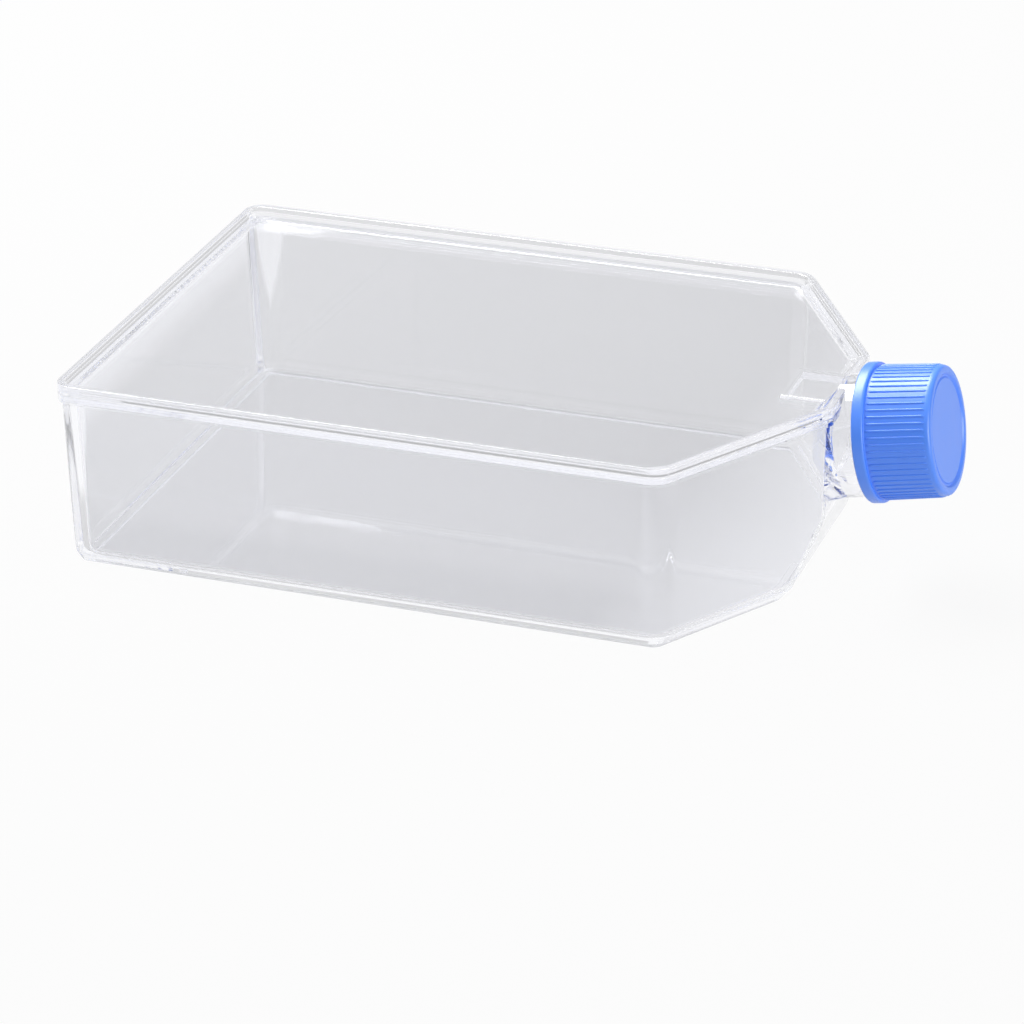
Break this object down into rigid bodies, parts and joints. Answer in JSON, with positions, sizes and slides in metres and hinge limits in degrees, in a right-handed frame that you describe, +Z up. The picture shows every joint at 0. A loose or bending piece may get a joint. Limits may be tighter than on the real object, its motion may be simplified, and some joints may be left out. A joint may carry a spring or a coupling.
{
  "type": "cell culture flask",
  "caption": "Clear stackable tissue culture flask with tapered shoulders, a raised stacking rim, a canted neck and a ribbed blue screw cap.",
  "frame": {"origin": "in the plane that the flask stands on, under the middle of its whole length and width", "axes": "+X from the back wall towards the cap, +Z up from the growth surface to the top plate, +Y completes the right-handed frame across the flask"},
  "size_m": [0.2304, 0.137, 0.0604],
  "materials": {
    "clear_polystyrene": "clear moulded polystyrene, smooth",
    "blue_polyethylene": "satin moulded polyethylene"
  },
  "bodies": {
    "flask": {"flask_body": "clear_polystyrene", "top_plate": "clear_polystyrene"},
    "cap": {"screw_cap": "blue_polyethylene"}
  },
  "joints": [
    {"name": "cap_lift", "type": "slide", "parent": "flask", "child": "cap", "axis": [0.9848, 0, 0.1736], "range_m": [0, 0.032]}
  ]
}
